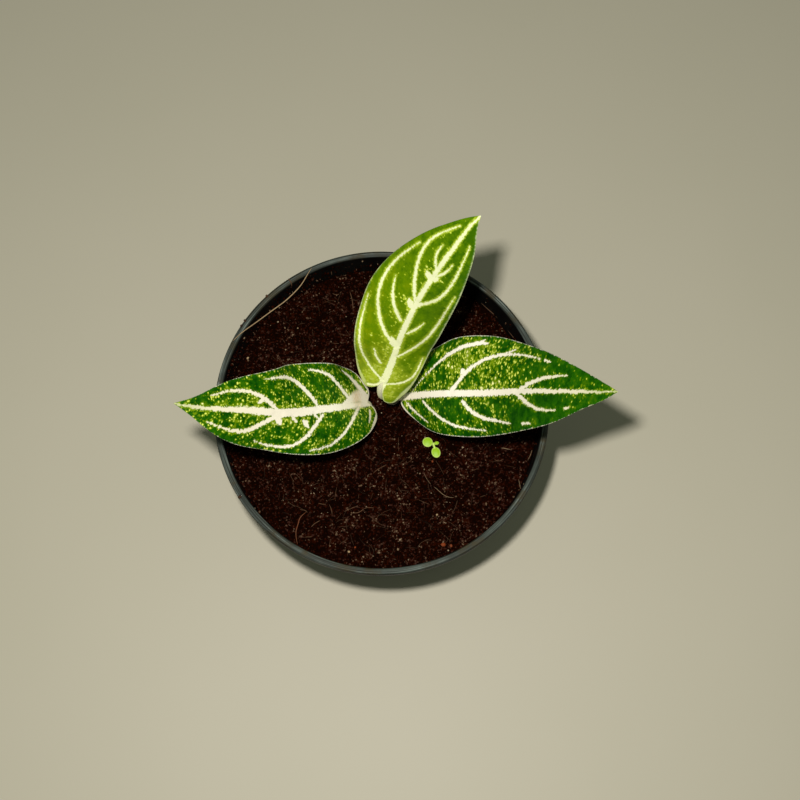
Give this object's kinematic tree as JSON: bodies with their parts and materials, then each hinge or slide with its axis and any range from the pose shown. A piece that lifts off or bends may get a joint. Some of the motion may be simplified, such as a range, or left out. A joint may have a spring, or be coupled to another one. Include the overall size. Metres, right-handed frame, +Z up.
{
  "type": "potted aglaonema",
  "caption": "Young aglaonema with erect, cream-veined green leaves in a black round nursery pot filled with dark soil.",
  "frame": {"origin": "middle of the pot's base, on the surface that it stands on", "axes": "+Z up through the pot's middle, +Y away from the viewer of the picture, +X to the viewer's right"},
  "size_m": [0.1336, 0.12, 0.2023],
  "materials": {
    "pot": "satin black moulded polypropylene",
    "soil": "damp crumbly coir and peat",
    "stem": "smooth green stem",
    "dark_leaf": "satin leaf, speckled, with cream veins",
    "lime_leaf": "satin young leaf with cream veins",
    "seedling": "soft seedling leaf"
  },
  "bodies": {
    "root": {"pot": "pot", "soil": "soil", "stem": "stem", "leaf_left": "dark_leaf", "leaf_right": "dark_leaf", "leaf_top": "lime_leaf", "seedling": "seedling"}
  },
  "joints": []
}
